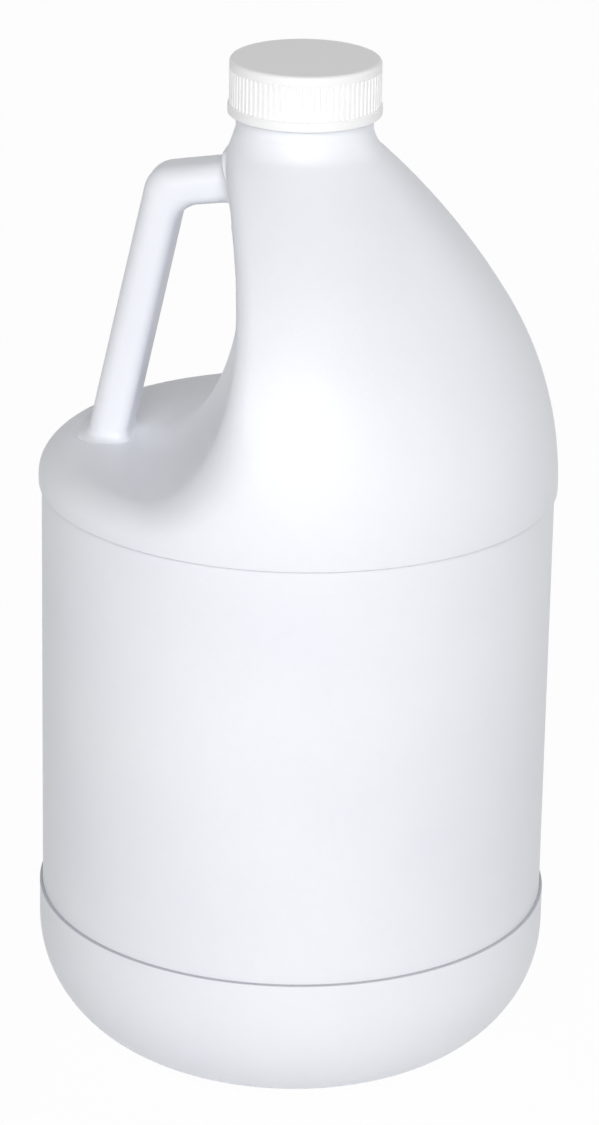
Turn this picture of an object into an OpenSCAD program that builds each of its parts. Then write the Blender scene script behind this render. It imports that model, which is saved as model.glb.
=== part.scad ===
// Round one-gallon jug with a hollow side handle, a ribbed screw cap and a foam sealing liner.
// The origin is the centre of the standing ring, on the floor. The handle points to -X.

/* [Body] */
// Outer diameter of the heel, and of the lip above the label panel
body_d = 149.8; // [144:0.1:156]
// How far the label panel is set back from the heel and the lip
panel_step = 0.9; // [0.4:0.1:1.6]
// Height of the sharp ledge at the foot of the label panel
panel_bottom = 45.5; // [38:0.5:60]
// Height of the lip, from the sharp step above the label panel up to the shoulder
lip_h = 0.9; // [0.5:0.1:6]
// Radius of the rounded heel
heel_r = 36.5; // [25:0.5:37]
// How much of the heel's rounding the flat standing ring cuts off
heel_flat = 1.5; // [0.5:0.1:3]
// Width of the flat standing ring
ring_w = 3.8; // [1:0.1:8]
// Height of the pushed-up middle of the base
push_up = 6; // [3:0.5:12]
// Wall thickness of the moulding
wall = 1; // [0.7:0.05:1.6]

/* [Shoulder] */
// Height at which the shoulder starts to turn in
shoulder_z = 172.2; // [171:0.1:174]
// Radius of the lower arc of the shoulder
shoulder_r = 102; // [90:1:115]
// Angle over which the lower arc turns before the flatter upper arc takes over
shoulder_turn = 31.5; // [26:0.5:36]
// Height at which the upper arc reaches the neck
neck_root_z = 273.5; // [266:0.5:282]
// Outer diameter of the plain neck under the cap
neck_d = 38.8; // [38.4:0.1:40]
// Radius of the hollow between the shoulder and the neck
neck_fillet = 3; // [2:0.5:6]

/* [Handle recess] */
// Height of the shelf that the handle stands on
shelf_z = 181.7; // [179:0.1:186]
// Radius of the rounded rim round the shelf
rim_r = 8; // [5:0.5:9]
// Radius of the ridge where the recess wall meets the shoulder
ridge_r = 5; // [3:0.5:7]
// Extra radius of that ridge where it leaves the rim
corner_r = 4; // [0:0.5:6]
// Distance from the jug's axis to the recess wall at its waist
waist_x = 17; // [14:0.5:20]
// Height of the waist, where the recess wall stands upright
waist_z = 232.5; // [226:0.5:238]
// How far the shelf starts to sweep up before it meets the wall
sweep_x = 28; // [20:1:36]
// Radius with which the wall leans out again above the waist
lean_r = 115; // [90:5:200]
// Angle by which each half of the wall falls back from the mould's parting plane
wall_draft = 9.5; // [6:0.5:13]
// Radius of the nose between the two halves
nose_r = 5; // [2:0.5:9]

/* [Handle] */
// Distance from the jug's axis to the middle of the handle's foot
foot_x = 55.6; // [53:0.1:57]
// Distance from the jug's axis to the corner where the two limbs' centre lines meet
corner_x = 39.2; // [37:0.1:43]
// Height of that corner
corner_z = 257.7; // [254:0.1:260]
// Rise of the upper limb toward the neck, in degrees
limb_rise = 8.6; // [4:0.2:12]
// Radius of the bend, the same on its outer and its inner side
bend_r = 8.2; // [4:0.1:11]
// Width of the lower limb, seen from the side
lower_w = 11.5; // [10:0.1:13]
// Width of the upper limb, seen from the side
upper_w = 11.4; // [9:0.1:13]
// Depth of the handle, front to back
handle_depth = 18; // [14:0.5:22]
// Radius of the flare where each limb runs into the jug
root_fillet = 3; // [1.5:0.5:4]

/* [Neck and cap] */
// Height of the neck above the shoulder
neck_h = 20.6; // [19:0.1:24]
// Diameter of the neck inside the cap
finish_d = 35; // [34:0.1:36]
// Bore of the mouth
mouth_d = 31.5; // [28:0.5:32]
// Thickness of the foam liner
liner_t = 1; // [0.6:0.1:2]
// Clearance between the liner's edge and the cap's wall
liner_gap = 0.3; // [0.1:0.05:0.5]
// Thickness of the cap's top
cap_top_t = 1.5; // [1:0.1:2.5]
// Overall height of the cap
cap_h = 15.7; // [14:0.1:16]
// Outer diameter of the cap over its ribs
cap_d = 42.8; // [42.4:0.1:44]
// Inner diameter of the cap
cap_bore_d = 38; // [37.6:0.1:38.4]
// Diameter of the plain flange round the cap's lower edge
flange_d = 43.6; // [43:0.1:46]
// Height of that flange
flange_h = 2.7; // [1.5:0.1:4]
// Height of the smooth band above the ribs
band_h = 2.6; // [1.5:0.1:4]
// Number of ribs round the cap
rib_count = 80; // [60:2:100]
// Depth of the grooves between the ribs
rib_depth = 0.45; // [0.2:0.05:0.5]
// Rounding of the cap's top edge
cap_edge = 1.2; // [0.3:0.1:1.4]
// Space between the neck's collar and the cap's lower edge
collar_gap = 0.6; // [0.4:0.1:1.5]

/* [Hidden] */
$fn = 96;
jug_colour = [0.94, 0.94, 0.97];
cap_colour = [0.97, 0.97, 0.97];
liner_colour = [0.88, 0.89, 0.9];
// Chamfer of the neck's rim.
neck_edge = 0.5;
// Steps in the arc of a small rounding, and of a large one.
few_steps = 4;
more_steps = 12;

body_r = body_d / 2;
neck_r = neck_d / 2;
neck_top_z = neck_root_z + neck_h;
cap_top_z = neck_top_z + liner_t + cap_top_t;
cap_bottom_z = cap_top_z - cap_h;
collar_z = cap_bottom_z - collar_gap;

// Where two shapes of one moulding meet, one lies this far inside the other's skin,
seam = 0.05;
// and runs this far into it.
lap = 0.5;
// A cutting shape runs this far past what it cuts.
over = 1;

// The shoulder's two arcs touch at the joint, and the upper one ends at the neck.
// Points here are [distance from the axis, height].
lower_centre = [body_r - shoulder_r, shoulder_z];
joint_normal = [cos(shoulder_turn), sin(shoulder_turn)];
joint = lower_centre + shoulder_r * joint_normal;
to_root = [neck_r, neck_root_z] - joint;
upper_r = -(to_root * to_root) / (2 * to_root * joint_normal);
upper_centre = joint - upper_r * joint_normal;
// The hollow between shoulder and neck has run out into the neck's cylinder here.
neck_z = upper_centre.y
    + sqrt(pow(upper_r + neck_fillet, 2) - pow(neck_r + neck_fillet - upper_centre.x, 2));

// The recess: height of the sweep, and where its edge starts to change its radius,
// over what height it does, and where and how wide the edge's corner is.
sweep_z = waist_z - shelf_z;
blend_z = shelf_z + 4.5;
blend_h = 30;
corner_up = 10;
corner_h = 12;

// Distance from the axis to the recess wall: upright up to the waist, leaning out above it.
function wall_reach(z) = waist_x + pow(max(z - waist_z, 0), 2) / (2 * lean_r);

// Points of an arc round c, from angle a0 to a1 in n steps.
function arc(c, r, a0, a1, n) =
    [for (i = [0:n]) let(a = a0 + (a1 - a0) * i / n) c + r * [cos(a), sin(a)]];

// The larger of two signed distances, with the edge between them rounded to radius r.
function round_max(a, b, r) = min(-r, max(a, b)) + norm([max(r + a, 0), max(r + b, 0)]);

// Signed distance from the shoulder and neck as turned bodies, without the recess.
function dome_gap(p) =
    let(
        rho = norm([p.x, p.y]),
        v = [rho, p.z] - lower_centre,
        turned = p.z < shoulder_z ? rho - body_r
            : atan2(v.y, v.x) < shoulder_turn ? norm(v) - shoulder_r
            : norm([rho, p.z] - upper_centre) - upper_r
    )
    -round_max(-turned, neck_r - rho, neck_fillet);

// Signed distance into the recess: over the shelf and on the handle's side of the wall.
// A quarter ellipse, sweep_x wide and sweep_z high, joins the shelf to the wall.
function recess_gap(p) =
    let(
        half = norm([p.y, nose_r]) - nose_r,
        out = half * sin(wall_draft) - (p.x + wall_reach(p.z)) * cos(wall_draft),
        up = p.z - shelf_z,
        stretch = sweep_z / sweep_x,
        k = [max(sweep_z - stretch * out, 0), max(sweep_z - up, 0)],
        len = norm(k),
        slope = len > 0 ? norm([stretch * k.x, k.y]) / len : 1
    )
    (max(sweep_z, min(stretch * out, up)) - len) / slope;

// Radius of the edge round the recess: widest where the rim turns up into the ridge.
function edge_r(z) =
    rim_r + (ridge_r - rim_r) * min(max((z - blend_z) / blend_h, 0), 1)
    + corner_r * exp(-pow((z - blend_z - corner_up) / corner_h, 2));

skin_gap = function(p) round_max(dome_gap(p), recess_gap(p), edge_r(p.z));
plain_gap = function(p) dome_gap(p);

// The shoulder's skin is where rays from one point on the axis meet it. That point lies this
// far below the shoulder, so that each ray meets the shelf, the wall or the dome only once.
fan_down = 6;
fan_z = shoulder_z - fan_down;
// Columns and rows of rays for the skin's outside and inside.
outer_columns = 72;
outer_rows = 28;
inner_columns = 48;
inner_rows = 18;
// The first row meets the skin this far above the shoulder's start, the last this far below
// the neck's, and the rows between are spread evenly up to these [share, elevation] pairs:
// past the rim and the shelf, and past the wall.
first_up = 1.3;
last_down = 1.5;
row_stops = [[0.4, 20], [0.72, 68]];
// Columns crowd in a band that follows the ridge between recess and dome. It starts and ends at
// these shares of a side's columns, and half its width, in degrees, grows with the elevation.
band_shares = [0.46, 0.7];
band_half = [[45, 6], [77, 16]];
// Below this elevation the ridge is the rim's, and the band keeps its azimuth.
rim_elevation = 13;
// The ridge lies between these azimuths.
ridge_range = [92, 150];
halvings = 20;

function ray(elevation, azimuth) =
    [cos(elevation) * cos(azimuth), cos(elevation) * sin(azimuth), sin(elevation)];

// Distance along dir from c to where gap passes -inset, found by halving the interval.
function cast(gap, c, dir, inset, lo = 1, hi = body_d, n = halvings) =
    let(m = (lo + hi) / 2)
    n == 0 ? m
        : gap(c + m * dir) < -inset ? cast(gap, c, dir, inset, m, hi, n - 1)
        : cast(gap, c, dir, inset, lo, m, n - 1);

// Azimuth of the ridge between dome and recess for rays of one elevation.
function ridge_azimuth(elevation, lo = ridge_range[0], hi = ridge_range[1], n = more_steps) =
    let(
        m = (lo + hi) / 2,
        dir = ray(elevation, m),
        p = [0, 0, fan_z] + cast(plain_gap, [0, 0, fan_z], dir, 0) * dir
    )
    n == 0 ? m
        : recess_gap(p) < 0 ? ridge_azimuth(elevation, m, hi, n - 1)
        : ridge_azimuth(elevation, lo, m, n - 1);

// Azimuths of n columns, crowded about the ridge.
function azimuths(elevation, n) =
    let(
        ridge = ridge_azimuth(max(elevation, rim_elevation)),
        half = lookup(elevation, band_half),
        steps = [[0, 0], [band_shares[0], ridge - half], [band_shares[1], ridge + half], [1, 180]],
        side = [for (i = [0:n / 2]) lookup(2 * i / n, steps)]
    )
    concat(side, [for (i = [n / 2 - 1:-1:1]) 360 - side[i]]);

// One ring of the skin: rays from height z on the axis, all at the given elevation.
function skin_ring(z, elevation, inset, columns) =
    [for (a = columns) let(dir = ray(elevation, a), c = [0, 0, z])
        c + cast(skin_gap, c, dir, inset) * dir];

// Closed solid through rings of n points each, with flat ends.
module loft(rings) {
    n = len(rings[0]);
    m = len(rings);
    points = [for (ring = rings) each ring];
    sides = [for (j = [0:m - 2], i = [0:n - 1])
        let(k = (i + 1) % n, a = j * n + i, b = j * n + k, c = a + n, d = b + n)
        each [[a, c, d], [a, d, b]]];
    ends = [[for (i = [0:n - 1]) i], [for (i = [n - 1:-1:0]) (m - 1) * n + i]];
    polyhedron(points, concat(sides, ends));
}

// The shoulder as a solid, set in by inset. The first and last rings are level, and run past
// its ends by extra.
module shoulder_solid(inset, n, rows, extra) {
    first = atan((shoulder_z + first_up - fan_z) / body_r);
    last = atan((neck_z - last_down - fan_z) / neck_r);
    stops = [[0, first], each row_stops, [1, last]];
    low = azimuths(first, n);
    high = azimuths(last, n);
    loft(concat(
        [skin_ring(shoulder_z - extra, 0, inset, low)],
        [for (j = [0:rows]) let(e = lookup(j / rows, stops))
            skin_ring(fan_z, e, inset, azimuths(e, n))],
        [skin_ring(neck_z + extra, 0, inset, high)]
    ));
}

// Half outline of the heel and the base, set in by inset.
module heel_outline(inset, top_z) {
    centre = [body_r - heel_r, heel_r - heel_flat];
    ring_r = centre.x + sqrt(heel_r * heel_r - centre.y * centre.y) - ring_w;
    floor_r = (ring_r * ring_r + push_up * push_up) / (2 * push_up);
    floor_a = asin(ring_r / floor_r);
    foot_a = -asin((centre.y - inset) / (heel_r - inset));
    step_z = panel_bottom - inset;
    polygon(concat(
        arc([0, push_up - floor_r], floor_r + inset, 90, 90 - floor_a, few_steps),
        arc(centre, heel_r - inset, foot_a, 0, more_steps),
        [[body_r - inset, step_z], [body_r - panel_step - inset, step_z]],
        [[body_r - panel_step - inset, top_z], [0, top_z]]
    ));
}

// The heel with its standing ring and pushed-up base, up to the ledge under the label panel.
module heel() {
    color(jug_colour)
        rotate_extrude()
            difference() {
                heel_outline(0, panel_bottom);
                heel_outline(wall, panel_bottom + over);
            }
}

// The label panel, and the lip that steps out above it.
module panel() {
    panel_r = body_r - panel_step;
    lip_z = shoulder_z - lip_h;
    color(jug_colour)
        rotate_extrude()
            polygon([
                [panel_r - wall, panel_bottom], [panel_r, panel_bottom], [panel_r, lip_z],
                [body_r, lip_z], [body_r, shoulder_z], [panel_r - wall, shoulder_z]
            ]);
}

// The domed shoulder with its recess, open to the hollow of the handle.
module shoulder() {
    color(jug_colour)
        difference() {
            shoulder_solid(0, outer_columns, outer_rows, 0);
            shoulder_solid(wall, inner_columns, inner_rows, over);
            handle_solid(wall);
        }
}

// The neck: plain at its root, then a collar and the narrower part inside the cap.
module neck() {
    finish_r = finish_d / 2;
    color(jug_colour)
        rotate_extrude()
            polygon([
                [mouth_d / 2, neck_z], [neck_r, neck_z], [neck_r, collar_z], [finish_r, collar_z],
                [finish_r, neck_top_z - neck_edge], [finish_r - neck_edge, neck_top_z],
                [mouth_d / 2, neck_top_z]
            ]);
}

// The handle's two limbs, as [distance from the axis, height]. Their centre lines meet at the
// elbow, and normals point to the outer side.
foot = [-foot_x, shelf_z];
elbow = [-corner_x, corner_z];
lower_dir = (elbow - foot) / norm(elbow - foot);
upper_dir = [cos(limb_rise), sin(limb_rise)];
lower_a = atan2(lower_dir.y, lower_dir.x);
bend_angle = lower_a - limb_rise;
// Both limbs run on into the shoulder: the lower one this far down, the upper one this far in.
limb_sink = 7;
limb_reach = 9;
// Corner radii of the handle's section, as shares of its half width: almost round on the outer
// side, tighter on the inner one.
outer_share = 0.93;
inner_share = 0.6;

// Widening of a limb at a distance s above the surface that it runs into.
function flare(s) =
    let(k = min(max(root_fillet - s, 0), root_fillet))
    root_fillet - sqrt(root_fillet * root_fillet - k * k);

// Heights above that surface at which the flare has its stations, as shares of its radius.
flare_steps = [0, 0.2, 0.5, 1];

// One edge of the handle, seen from the side, at offset from both centre lines: where it leaves
// the lower limb's straight line and where it joins the upper one's, with the bend's centre.
function bend_edge(side) =
    let(
        low = foot + side * lower_w / 2 * [-lower_dir.y, lower_dir.x],
        high = elbow + side * upper_w / 2 * [-upper_dir.y, upper_dir.x],
        // The two straight lines meet this far along the lower one.
        s = cross(high - low, upper_dir) / cross(lower_dir, upper_dir),
        corner = low + s * lower_dir,
        cut = bend_r * tan(bend_angle / 2)
    )
    [corner - cut * lower_dir, corner + cut * upper_dir,
     corner - cut * lower_dir + bend_r * [lower_dir.y, -lower_dir.x]];

outer_edge = bend_edge(1);
inner_edge = bend_edge(-1);

// A station between two points of the edges: [centre, direction angle, half width, flare].
function station(outer, inner, widening) =
    let(v = outer - inner)
    [(outer + inner) / 2, atan2(-v.x, v.y), norm(v) / 2, widening];

// Stations along the handle: down the lower limb, round the bend and along the upper limb.
function handle_stations() =
    let(
        turns = 7,
        half = upper_w / 2,
        // The upper limb's middle meets the recess wall at this height and this far along.
        wall_z = elbow.y + (corner_x - wall_reach(elbow.y)) * tan(limb_rise),
        skin_s = (corner_x - wall_reach(wall_z)) / upper_dir.x
    )
    concat(
        [[foot - limb_sink * lower_dir, lower_a, lower_w / 2, flare(0)]],
        [for (t = flare_steps) let(s = t * root_fillet)
            [foot + s * lower_dir, lower_a, lower_w / 2, flare(s)]],
        [for (i = [0:turns]) let(
            a = lower_a - bend_angle * i / turns,
            turn = bend_r * [-sin(a), cos(a)]
        )
            station(outer_edge[2] + turn, inner_edge[2] + turn, 0)],
        [for (i = [len(flare_steps) - 1:-1:0]) let(s = flare_steps[i] * root_fillet)
            [elbow + (skin_s - s) * upper_dir, limb_rise, half, flare(s)]],
        [[elbow + (skin_s + limb_reach) * upper_dir, limb_rise, half, flare(0)]]
    );

// Section of the handle, moved out by grow. Points are [across the limb, depth], and the outer
// side lies at negative first values.
function handle_section(half_w, half_d, grow) =
    let(outer = half_w * outer_share, inner = half_w * inner_share, n = few_steps)
    concat(
        arc([half_w - inner, half_d - inner], inner + grow, 0, 90, n),
        arc([outer - half_w, half_d - outer], outer + grow, 90, 180, n + 2),
        arc([outer - half_w, outer - half_d], outer + grow, 180, 270, n + 2),
        arc([half_w - inner, inner - half_d], inner + grow, 270, 360, n)
    );

// The handle as a solid, set in by inset, with both ends inside the shoulder.
module handle_solid(inset) {
    loft([for (s = handle_stations())
        [for (q = handle_section(s[2], handle_depth / 2, s[3] - inset))
            [s[0].x + q.x * sin(s[1]), q.y, s[0].y - q.x * cos(s[1])]]]);
}

// The hollow handle, from the shoulder's skin outwards.
module handle() {
    color(jug_colour)
        difference() {
            handle_solid(0);
            shoulder_solid(0, outer_columns, outer_rows, 0);
            handle_solid(wall);
        }
}

// Corners of one rib and of the flat-bottomed groove beside it, as [share of the pitch, depth].
rib_corners = [[0.1, 0], [0.4, 0], [0.55, rib_depth], [0.95, rib_depth]];

// Ribbed outline of the cap.
function ribbed() =
    let(r = cap_d / 2 - seam, pitch = 360 / rib_count)
    [for (i = [0:rib_count - 1], c = rib_corners)
        let(a = (i + c.x) * pitch) (r - c.y) * [cos(a), sin(a)]];

// The screw cap: a plain flange, ribs, a smooth band and a rounded top edge, open below.
module cap() {
    ribs_z = cap_bottom_z + flange_h;
    band_z = cap_top_z - band_h;
    color(cap_colour)
        difference() {
            union() {
                translate([0, 0, cap_bottom_z]) cylinder(h = flange_h, d = flange_d);
                translate([0, 0, ribs_z - lap])
                    linear_extrude(band_z - ribs_z + 2 * lap) polygon(ribbed());
                rotate_extrude()
                    polygon(concat(
                        [[0, band_z], [cap_d / 2, band_z]],
                        arc([cap_d / 2 - cap_edge, cap_top_z - cap_edge], cap_edge, 0, 90, few_steps),
                        [[0, cap_top_z]]
                    ));
            }
            translate([0, 0, cap_bottom_z - over])
                cylinder(h = cap_h - cap_top_t + over, d = cap_bore_d);
        }
}

// Foam disc that seals the mouth: it lies on the neck's rim, under the cap's top.
module liner() {
    color(liner_colour)
        translate([0, 0, neck_top_z])
            cylinder(h = liner_t, d = cap_bore_d - 2 * liner_gap);
}

heel();
panel();
shoulder();
handle();
neck();
cap();
liner();
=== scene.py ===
"""Round one-gallon jug with a hollow side handle and a ribbed screw cap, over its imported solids.

Lengths in the classes are millimetres in the part's own frame: the axis of the jug is Z, the
floor is Z = 0 and the handle points to -X. They become metres only where a mesh is made.
"""
import logging
import math
from dataclasses import dataclass
from enum import Enum
from typing import Any

import bpy
import numpy as np
from mathutils import Matrix, Vector


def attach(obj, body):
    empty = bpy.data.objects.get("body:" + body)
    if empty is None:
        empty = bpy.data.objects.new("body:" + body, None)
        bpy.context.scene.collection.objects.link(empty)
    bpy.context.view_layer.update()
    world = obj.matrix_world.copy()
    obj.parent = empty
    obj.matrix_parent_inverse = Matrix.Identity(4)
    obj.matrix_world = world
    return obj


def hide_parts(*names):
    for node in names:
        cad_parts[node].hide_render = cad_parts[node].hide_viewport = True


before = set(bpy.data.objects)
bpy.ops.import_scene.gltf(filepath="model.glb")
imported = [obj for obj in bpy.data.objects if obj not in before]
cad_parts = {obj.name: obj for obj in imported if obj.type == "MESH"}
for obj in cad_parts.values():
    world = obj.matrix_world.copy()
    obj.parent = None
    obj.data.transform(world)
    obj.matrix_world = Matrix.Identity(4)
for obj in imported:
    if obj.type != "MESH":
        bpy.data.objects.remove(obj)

MM = 0.001
PIXELS_HIGH = 1125
WHITE = "FFFFFF"
log = logging.getLogger("jug")

Array = np.ndarray
Material = bpy.types.Material
Node = bpy.types.Node
Piece = bpy.types.Object
Socket = bpy.types.NodeSocket
Tree = bpy.types.NodeTree


class Side(Enum):
    """Which skin of the moulding a surface is: its outside, or its inside one wall further in."""

    OUTER = 0.0
    INNER = 1.0


def linear(hex_colour: str) -> tuple[float, float, float, float]:
    """Turns an sRGB hex colour into linear light.

    Args:
        hex_colour: six hex digits, two each for red, green and blue.

    Returns:
        Linear red, green, blue and an alpha of 1.
    """
    parts = [int(hex_colour[i:i + 2], 16) / 255 for i in (0, 2, 4)]
    return (*[c / 12.92 if c <= 0.04045 else ((c + 0.055) / 1.055) ** 2.4 for c in parts], 1.0)


def add_node(tree: Tree, kind: str, inputs: dict[Any, Any] | None = None, **settings: Any) -> Node:
    """Adds a node with its settings and links.

    Args:
        tree: the node tree that gets the node.
        kind: Blender's name of the node type.
        inputs: input name or index, to a socket that is linked or a value that is set.
        settings: attributes of the node itself.

    Returns:
        The new node.
    """
    node = tree.nodes.new(kind)
    for name, value in settings.items():
        setattr(node, name, value)
    for key, value in (inputs or {}).items():
        if isinstance(value, Socket):
            tree.links.new(value, node.inputs[key])
        else:
            node.inputs[key].default_value = value
    return node


def blank_tree(owner: Material | bpy.types.World) -> Tree:
    """Turns a material's or world's nodes on and empties them.

    Args:
        owner: the material or world.

    Returns:
        Its empty node tree.
    """
    owner.use_nodes = True
    owner.node_tree.nodes.clear()
    return owner.node_tree


def object_place(tree: Tree) -> Socket:
    """Socket with the shaded point in the piece's own frame, in metres."""
    return add_node(tree, "ShaderNodeTexCoord").outputs["Object"]


def noise(tree: Tree, size_mm: float, detail: float) -> Socket:
    """Socket with a noise pattern, 0 to 1, with blobs about size_mm across."""
    pattern = add_node(tree, "ShaderNodeTexNoise",
                       {"Vector": object_place(tree), "Scale": 1 / (size_mm * MM), "Detail": detail})
    return pattern.outputs["Fac"]


def grain_normal(tree: Tree, height: Socket, strength: float, depth_mm: float) -> Socket:
    """Socket with the normal of a surface that a height pattern roughens.

    Args:
        tree: the node tree.
        height: the pattern, 0 to 1.
        strength: share of the full effect.
        depth_mm: depth of the pattern from 0 to 1, in millimetres.

    Returns:
        The normal.
    """
    bump = add_node(tree, "ShaderNodeBump",
                    {"Height": height, "Strength": strength, "Distance": depth_mm * MM})
    return bump.outputs["Normal"]


def clear_rays(tree: Tree) -> Socket:
    """Socket that is 1 for rays from the camera, a reflection or a transmission, and otherwise 0."""
    path = add_node(tree, "ShaderNodeLightPath")
    seen = add_node(tree, "ShaderNodeMath", operation="MAXIMUM",
                    inputs={0: path.outputs["Is Camera Ray"], 1: path.outputs["Is Glossy Ray"]})
    through = add_node(tree, "ShaderNodeMath", operation="MAXIMUM",
                       inputs={0: seen.outputs[0], 1: path.outputs["Is Transmission Ray"]})
    return through.outputs[0]


def round_max(a: Array, b: Array, r: Array | float) -> Array:
    """The larger of two signed distances, with the edge between them rounded.

    Formula: the length of the parts of a and b that reach past -r, or the larger of a and b
    where neither does.

    Args:
        a: first distance.
        b: second distance.
        r: radius of the rounding.

    Returns:
        The joined distance, negative inside both.
    """
    return np.minimum(-r, np.maximum(a, b)) + np.hypot(np.maximum(r + a, 0), np.maximum(r + b, 0))


def arc(centre: tuple[float, float], r: float, start: float, end: float, steps: int) -> Array:
    """Points of a circular arc.

    Args:
        centre: centre of the circle.
        r: its radius.
        start: first angle, in degrees.
        end: last angle, in degrees.
        steps: number of steps between them.

    Returns:
        steps + 1 points, one a row.
    """
    a = np.radians(np.linspace(start, end, steps + 1))
    return np.column_stack([centre[0] + r * np.cos(a), centre[1] + r * np.sin(a)])


def turned(profile: Array, azimuth: Array) -> Array:
    """Carries a profile round the axis.

    Formula: each profile point (rho, z) goes to (rho cos a, rho sin a, z) for every azimuth a.

    Args:
        profile: rows of distance from the axis and height.
        azimuth: angles in radians, one a column of the grid.

    Returns:
        Grid of points, profile rows by azimuth columns.
    """
    rho, z = profile[:, :1], profile[:, 1:]
    height = np.broadcast_to(z, (len(z), azimuth.size))
    return np.stack([rho * np.cos(azimuth), rho * np.sin(azimuth), height], -1)


def grid_faces(rows: int, columns: int, first: int = 0) -> Array:
    """Quads between the rows of a grid whose columns close on themselves.

    Args:
        rows: number of rows.
        columns: number of columns.
        first: index of the grid's first point.

    Returns:
        Four point indices a row. They face outwards where columns run anticlockwise and rows go up.
    """
    i = np.arange(columns)
    k = (i + 1) % columns
    j = np.arange(rows - 1)[:, None] * columns + first
    return np.stack([j + i, j + k, j + columns + k, j + columns + i], -1).reshape(-1, 4)


def make_mesh(name: str, points: Array, faces: list[list[int]]) -> Piece:
    """Makes a mesh object from points in millimetres.

    Args:
        name: name of the object and its mesh.
        points: one point a row.
        faces: point indices of each face.

    Returns:
        The new object, linked to the scene, at the origin.
    """
    mesh = bpy.data.meshes.new(name)
    mesh.from_pydata((np.asarray(points) * MM).tolist(), [], faces)
    mesh.validate()
    mesh.update()
    piece = bpy.data.objects.new(name, mesh)
    bpy.context.scene.collection.objects.link(piece)
    return piece


def closed_grid(name: str, grid: Array, start: Array | None = None, end: Array | None = None) -> Piece:
    """Makes a closed mesh from a grid of rings.

    Args:
        name: name of the object.
        grid: rings by columns by 3; each ring closes on itself.
        start: point that closes the first ring as a pole, or None for a flat face.
        end: point that closes the last ring, or None for a flat face.

    Returns:
        The new object.
    """
    rows, columns = grid.shape[:2]
    points = grid.reshape(-1, 3)
    faces = grid_faces(rows, columns).tolist()
    last = (rows - 1) * columns
    for pole, first, forward in ((start, 0, False), (end, last, True)):
        ring = [first + i for i in range(columns)]
        if pole is None:
            faces.append(ring if forward else ring[::-1])
            continue
        tip = len(points)
        points = np.vstack([points, pole])
        pairs = zip(ring, ring[1:] + ring[:1])
        faces += [[a, b, tip] if forward else [b, a, tip] for a, b in pairs]
    return make_mesh(name, points, faces)


def combine(piece: Piece, tool: Piece, operation: str) -> None:
    """Joins a closed mesh to another, or cuts it away, and deletes the tool.

    Args:
        piece: object whose mesh changes.
        tool: closed mesh that is added or taken away.
        operation: UNION or DIFFERENCE.
    """
    modifier = piece.modifiers.new("combine", "BOOLEAN")
    modifier.solver = "MANIFOLD"
    modifier.operation = operation
    modifier.object = tool
    bpy.context.view_layer.update()
    evaluated = piece.evaluated_get(bpy.context.evaluated_depsgraph_get())
    result = bpy.data.meshes.new_from_object(evaluated)
    result.name = piece.name
    piece.modifiers.clear()
    old, piece.data = piece.data, result
    bpy.data.meshes.remove(old)
    bpy.data.objects.remove(tool)


def smooth(piece: Piece, sharp_angle: float) -> None:
    """Shades a piece smooth, with edges sharper than an angle left sharp.

    Args:
        piece: the object.
        sharp_angle: the angle, in degrees.
    """
    mesh = piece.data
    mesh.polygons.foreach_set("use_smooth", np.ones(len(mesh.polygons), dtype=bool))
    mesh.set_sharp_from_angle(angle=math.radians(sharp_angle))
    mesh.update()


@dataclass(frozen=True)
class Shoulder:
    """The domed shoulder, a turned surface of two arcs that touch, and the neck above it."""

    body_r: float = 74.9
    start_z: float = 172.2
    lower_r: float = 102.0
    turn: float = math.radians(31.5)
    neck_r: float = 19.4
    neck_root_z: float = 273.5
    neck_fillet: float = 3.0

    @property
    def lower_centre(self) -> Array:
        """Centre of the lower arc, as distance from the axis and height."""
        return np.array([self.body_r - self.lower_r, self.start_z])

    @property
    def upper_arc(self) -> tuple[Array, float]:
        """Centre and radius of the upper arc, from the lower one's end to the neck's root."""
        normal = np.array([math.cos(self.turn), math.sin(self.turn)])
        joint = self.lower_centre + self.lower_r * normal
        to_root = np.array([self.neck_r, self.neck_root_z]) - joint
        r = -(to_root @ to_root) / (2 * to_root @ normal)
        return joint - r * normal, r

    @property
    def neck_z(self) -> float:
        """Height at which the hollow at the neck's root has run out into the neck."""
        centre, r = self.upper_arc
        reach = self.neck_r + self.neck_fillet - centre[0]
        return float(centre[1] + math.sqrt((r + self.neck_fillet) ** 2 - reach ** 2))

    def gap(self, rho: Array, z: Array) -> Array:
        """Signed distance from the shoulder and neck.

        Formula: below the shoulder the distance from a cylinder, then from the lower circle up to
        the joint's angle, then from the upper circle; joined to the neck's cylinder by a hollow.

        Args:
            rho: distances from the axis.
            z: heights.

        Returns:
            Distances, negative inside.
        """
        low, (high, upper_r) = self.lower_centre, self.upper_arc
        on_lower = np.arctan2(z - low[1], rho - low[0]) < self.turn
        dome = np.where(on_lower, np.hypot(rho - low[0], z - low[1]) - self.lower_r,
                        np.hypot(rho - high[0], z - high[1]) - upper_r)
        body = np.where(z < self.start_z, rho - self.body_r, dome)
        return -round_max(-body, self.neck_r - rho, self.neck_fillet)


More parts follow.
